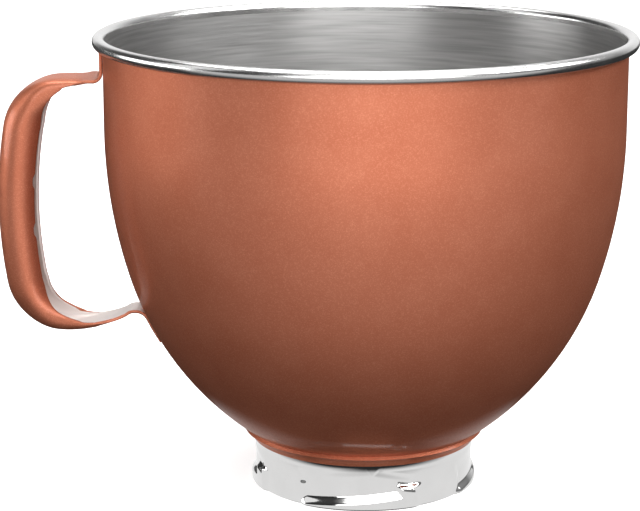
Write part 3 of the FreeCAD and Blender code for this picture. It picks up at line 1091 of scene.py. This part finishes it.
@dataclass
class Foot:
    """The stamped foot ring: a flare under the bowl, a neck, and four lugs with cam tracks.

    A cam track has a high part over a rising ledge, a low part that ends at the stop, and a channel
    that falls away from it. Places along it are degrees from the lug's middle or millimetres on the
    neck, and each Soft gives the softness of one of its borders.
    """

    form: Form
    radius: float = 47.5
    sheet: float = 1.5
    edge: float = 0.9
    bend: float = 7.5
    lap: float = 1.2
    rim_share: float = 0.25
    paint_turn: float = 24.0
    floor: float = 46.9
    lugs: int = 4
    lug: float = 48.8
    lug_height: float = 10.0
    lug_top: Soft = Soft(0.8, 0.8)
    lug_ends: Point = (-31.5, 26.0)
    lug_end: Soft = Soft(4.5, 0.5)
    ledge: float = 4.95
    ledge_border: Soft = Soft(1.9, 1.9)
    rise: float = 0.091
    track_top: float = 17.0
    track_ends: Point = (-34.0, 5.0)
    high_start: Soft = Soft(2.4, 2.4)
    high_peak: Soft = Soft(2.0, 2.0)
    high_top: Soft = Soft(4.0, 2.0)
    stop: float = 17.5
    low_height: float = 10.6
    low_overlap: float = 3.0
    low_start: Soft = Soft(1.0, 1.0)
    low_stop: Soft = Soft(1.3, 1.3)
    low_top: Soft = Soft(2.0, 2.0)
    fall_ends: Point = (2.0, 23.5)
    fall: float = 0.23
    fall_bottom: float = 13.9
    fall_top: float = 17.2
    fall_start: Soft = Soft(2.0, 2.0)
    fall_end: Soft = Soft(2.5, 2.5)
    fall_floor: Soft = Soft(2.4, 2.4)
    fall_crown: Soft = Soft(3.0, 2.0)
    segments: int = 720
    flare_segments: int = 256
    flare_steps: int = 20
    lap_steps: int = 3
    inner_bend_steps: int = 8
    inner_steps: int = 18
    inner_edge_steps: int = 4
    outer_edge_steps: int = 6
    outer_steps: int = 54
    outer_bend_steps: int = 22
    flare_sharp: float = 40.0
    ring_sharp: float = 60.0

    def build(self, finishes: Finishes) -> None:
        """Makes the painted flare and the bright ring.

        Args:
            finishes: The materials.
        """
        for name, mesh, finish in (
            ("foot_painted_flare", self.flare(), Finish.SHELL),
            ("foot_bright_ring", self.ring(), Finish.FOOT),
        ):
            part = piece(name, mesh, finishes[finish])
            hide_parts("foot_ring")

    def centre(self) -> Point:
        """Seats the bend, so that the flare lies on the bowl's underside.

        Returns:
            The centre of the bend.
        """
        low, high = 0.0, self.form.wall_bottom
        across = self.radius + self.bend
        for _ in range(60):
            middle = (low + high) / 2
            clear = self.form.gap((across, middle))[0] - self.sheet - self.bend
            low, high = (middle, high) if clear > 0.0 else (low, middle)
        return across, high

    def flare(self) -> Mesh:
        """Draws and turns the flare, from the paint's edge up to its rim.

        Returns:
            The flare.
        """
        form, sheet, bend = self.form, self.sheet, self.centre()
        number = form.gap(bend)[1]
        seat, radius = form.centres[number], form.radii[number]
        angle = direction(seat, bend)
        rim = angle + math.degrees(self.lap / radius)
        cut = 180.0 - self.paint_turn
        profile = Profile(polar(bend, self.bend + sheet, cut))
        profile.line(polar(bend, self.bend, cut), 2)
        profile.arc(bend, angle + self.paint_turn, self.flare_steps)
        profile.arc(seat, rim - angle, self.lap_steps)
        profile.line(polar(seat, radius + sheet * self.rim_share, rim), 2)
        profile.line(polar(seat, radius, rim))
        profile.arc(seat, angle - rim, self.lap_steps)
        profile.arc(bend, -angle - self.paint_turn, self.flare_steps)
        mesh = profile.turned(self.flare_segments, close=False)
        sharpen(mesh, self.flare_sharp)
        return mesh

    def ring(self) -> Mesh:
        """Turns the neck, and presses the lugs and cam tracks out of it.

        Returns:
            The ring.
        """
        neck, edge, bend = self.radius, self.edge, self.centre()
        inner, small = self.radius - self.sheet, self.edge / 2
        profile = Profile(polar(bend, self.bend + self.sheet, 180.0 - self.paint_turn))
        profile.arc(bend, self.paint_turn, self.inner_bend_steps)
        profile.line((inner, small), self.inner_steps)
        profile.arc((inner + small, small), 90.0, self.inner_edge_steps)
        profile.line((neck - edge, 0.0))
        profile.arc((neck - edge, edge), 90.0, self.outer_edge_steps)
        profile.line((neck, bend[1]), self.outer_steps)
        profile.arc(bend, -self.paint_turn, self.outer_bend_steps)
        mesh = profile.turned(self.segments)
        pitch = 360.0 / self.lugs
        for vert in mesh.verts:
            radius = math.hypot(vert.co.x, vert.co.y)
            angle = math.degrees(math.atan2(vert.co.x, -vert.co.y))
            angle = (angle + pitch / 2) % pitch - pitch / 2
            moved = radius + self.press(angle, vert.co.z / MM) * MM
            vert.co.x *= moved / radius
            vert.co.y *= moved / radius
        sharpen(mesh, self.ring_sharp)
        return mesh

    def press(self, angle: float, height: float) -> float:
        """Returns how far the sheet is pressed out at a place near a lug.

        Args:
            angle: The angle from the lug's middle, in degrees.
            height: The height above the standing level.

        Returns:
            The distance outwards, in millimetres, negative inwards.
        """
        left, right = self.lug_ends
        lug = self.lug_end.rise(angle - left) * self.lug_end.rise(right - angle)
        out = lug * self.lug_top.fall(height - self.lug_height) * (self.lug - self.radius)
        pitch = 360.0 / self.lugs
        best = max(self.track(angle + turn, height) for turn in (-pitch, 0.0, pitch))
        return out + best * (self.floor - self.radius - out)

    def track(self, angle: float, height: float) -> float:
        """Returns how much a place belongs to a lug's cam track.

        Args:
            angle: The angle from the lug's middle, in degrees.
            height: The height above the standing level.

        Returns:
            A share, from 0 to 1.
        """
        along = math.radians(angle) * self.radius
        start, peak = (math.radians(end) * self.radius for end in self.track_ends)
        first, last = (math.radians(end) * self.radius for end in self.fall_ends)
        stop = math.radians(self.stop) * self.radius
        over = height - self.ledge - self.rise * along
        sunk = height + self.fall * along
        high = min(
            self.high_start.rise(along - start),
            self.high_peak.fall(along - peak),
            self.ledge_border.rise(over),
            self.high_top.fall(over + self.ledge - self.track_top),
        )
        low = min(
            self.low_start.rise(along - peak + self.low_overlap),
            self.low_stop.fall(along - stop),
            self.ledge_border.rise(over),
            self.low_top.fall(over - self.low_height),
            self.fall_crown.fall(sunk - self.fall_top),
        )
        channel = min(
            self.fall_start.rise(along - first),
            self.fall_end.fall(along - last),
            self.fall_floor.rise(sunk - self.fall_bottom),
            self.fall_crown.fall(sunk - self.fall_top),
        )
        return max(high, low, channel)


# The studio


@dataclass(frozen=True)
class Lamp:
    """A soft lamp that the camera doesn't see: its place, what it faces, its size and watts."""

    name: str
    place: Triple
    target: Triple
    size: Point
    power: float

    def build(self) -> None:
        """Makes the lamp."""
        data = bpy.data.lights.new(self.name, "AREA")
        data.shape = "RECTANGLE"
        data.size, data.size_y = self.size
        data.energy = self.power
        lamp = bpy.data.objects.new(self.name, data)
        lamp.location = self.place
        facing = Vector(self.target) - Vector(self.place)
        lamp.rotation_euler = facing.to_track_quat("-Z", "Y").to_euler()
        lamp.visible_camera = False
        bpy.context.scene.collection.objects.link(lamp)


@dataclass(frozen=True)
class Floor:
    """A pale floor that keeps the bowl's shadow.

    To the camera it is evenly white. To all other rays it is a painted glow, not a lit surface: it
    glows close to the foot, where low rays meet it, glows again well in front, and is dark behind.
    The dark ground round the foot's glow is painted shade under the bowl.
    """

    half_size: float = 6.0
    colour: Triple = (0.8, 0.8, 0.8)
    roughness: float = 0.9
    glow: float = 0.6
    near: Ramp = Ramp(0.09, 0.106, 0.92, 0.0)
    steep: Ramp = Ramp(0.13, 0.31)
    steep_slope: float = -7.0
    steep_lift: float = 0.35
    far: Ramp = Ramp(-0.25, -0.09, 0.6, 0.03)

    def build(self) -> None:
        """Makes the floor."""
        mesh = bmesh.new()
        bmesh.ops.create_grid(mesh, x_segments=1, y_segments=1, size=self.half_size)
        data = bpy.data.meshes.new("floor")
        mesh.to_mesh(data)
        mesh.free()
        floor = bpy.data.objects.new("floor", data)
        bpy.context.scene.collection.objects.link(floor)
        data.materials.append(self.paint())

    def paint(self) -> Material:
        """Paints the floor.

        Returns:
            The material.
        """
        paint = Shader("floor_paint")
        paint.set(Base_Color=shade(self.colour), Roughness=self.roughness, Specular_IOR_Level=0.0)
        light = paint.node("Emission")
        light.inputs["Strength"].default_value = self.glow
        white = paint.node("AddShader")
        paint.link(paint.surface.outputs[0], white.inputs[0])
        paint.link(light.outputs[0], white.inputs[1])
        # For all rays but the camera's the floor is a painted glow, not lit: a disc close to the
        # foot that glows for low rays, a glow in front, and painted shade elsewhere near the bowl.
        away = paint.node("VectorMath", operation="LENGTH")
        paint.link(paint.place(), away.inputs[0])
        away = away.outputs["Value"]
        facing = paint.node("LayerWeight").outputs["Facing"]
        inner = paint.maths("MULTIPLY_ADD", away, self.steep_slope, self.steep_lift)
        low = paint.ramp(paint.maths("ADD", facing, inner), self.steep)
        far = paint.ramp(paint.axes(paint.place())[1], self.far)
        dim = paint.node("Emission")
        near = paint.ramp(away, self.near)
        paint.link(paint.maths("MULTIPLY_ADD", near, low, far), dim.inputs["Strength"])
        mix = paint.node("MixShader")
        paint.link(paint.seen(), mix.inputs[0])
        paint.link(dim.outputs[0], mix.inputs[1])
        paint.link(white.outputs[0], mix.inputs[2])
        paint.link(mix.outputs[0], paint.tree.nodes["Material Output"].inputs["Surface"])
        return paint.material


@dataclass(frozen=True)
class Sky:
    """A white background.

    In reflections it brightens upwards, is white straight behind the bowl, and is dark at its left.
    """

    rise: Ramp = Ramp(-0.1, 0.8, 0.1, 0.5)
    behind: Ramp = Ramp(0.55, 0.9)
    left: Ramp = Ramp(-0.5, -0.32, 0.12, 1.0)

    def build(self) -> None:
        """Makes the world."""
        world = bpy.data.worlds.new("studio")
        bpy.context.scene.world = world
        world.use_nodes = True
        sky = Nodes(world.node_tree)
        x, y, z = sky.axes(sky.place("Generated"))
        glow = sky.maths("MAXIMUM", sky.ramp(z, self.rise), sky.ramp(y, self.behind))
        dim = sky.maths("MULTIPLY", glow, sky.ramp(x, self.left))
        light = world.node_tree.nodes["Background"]
        light.inputs["Color"].default_value = (1.0, 1.0, 1.0, 1.0)
        white = sky.node("Mix")
        for value, number in ((sky.seen(), 0), (dim, 2), (1.0, 3)):
            sky.feed(value, white.inputs[number])
        sky.link(white.outputs[0], light.inputs["Strength"])


@dataclass
class Studio:
    """A pale floor, soft lamps and a camera at the photograph's angle."""

    camera_place: Triple = (-0.01899, -0.9243, 0.31599)
    camera_pitch: float = 13.235
    lens: float = 124.4
    lamps: tuple[Lamp, ...] = (
        Lamp("key", (0.07, -1.6, 0.28), (0.0, 0.0, 0.16), (2.06, 0.9), 23.5),
        Lamp("card", (0.3, -1.25, 1.3), (0.0, 0.0, 0.05), (2.2, 1.0), 9.0),
        Lamp("left", (-1.7, 0.2, 0.25), (0.0, 0.0, 0.12), (1.2, 0.7), 12.0),
        Lamp("left_card", (-1.55, -0.2, 1.2), (0.0, 0.0, 0.15), (0.9, 1.0), 2.8),
        Lamp("right_card", (1.48, -0.35, 1.2), (0.0, 0.0, 0.15), (1.5, 0.8), 30.0),
        Lamp("top", (0.0, 0.2, 1.7), (0.0, 0.0, 0.1), (1.8, 1.6), 38.0),
    )

    def build(self) -> None:
        """Makes the camera, the floor, the lamps and the world."""
        scene = bpy.context.scene
        data = bpy.data.cameras.new("camera")
        data.lens = self.lens
        camera = bpy.data.objects.new("camera", data)
        camera.location = self.camera_place
        camera.rotation_euler = (math.radians(90.0 - self.camera_pitch), 0.0, 0.0)
        scene.collection.objects.link(camera)
        scene.camera = camera
        scene.view_settings.view_transform = "Standard"
        Floor().build()
        for lamp in self.lamps:
            lamp.build()
        Sky().build()


def main() -> None:
    """Builds the bowl, its handle and its foot, then the studio."""
    logging.basicConfig(level=logging.INFO, format="%(message)s")
    finishes = {
        Finish.SHELL: MetallicPaint("copper_paint").build(),
        Finish.HANDLE: MetallicPaint("copper_paint_handle").build(),
        Finish.FOOT: PolishedSteel("bright_steel").build(),
        Finish.INSIDE: BrushedSteel("brushed_steel").build(),
        Finish.BEAD: PolishedSteel("bead_steel", roughness=0.22).build(),
    }
    form = Form()
    for part in (Bowl(form), Handle(form), Foot(form)):
        part.build(finishes)
    Studio().build()


if __name__ == "__main__":
    main()
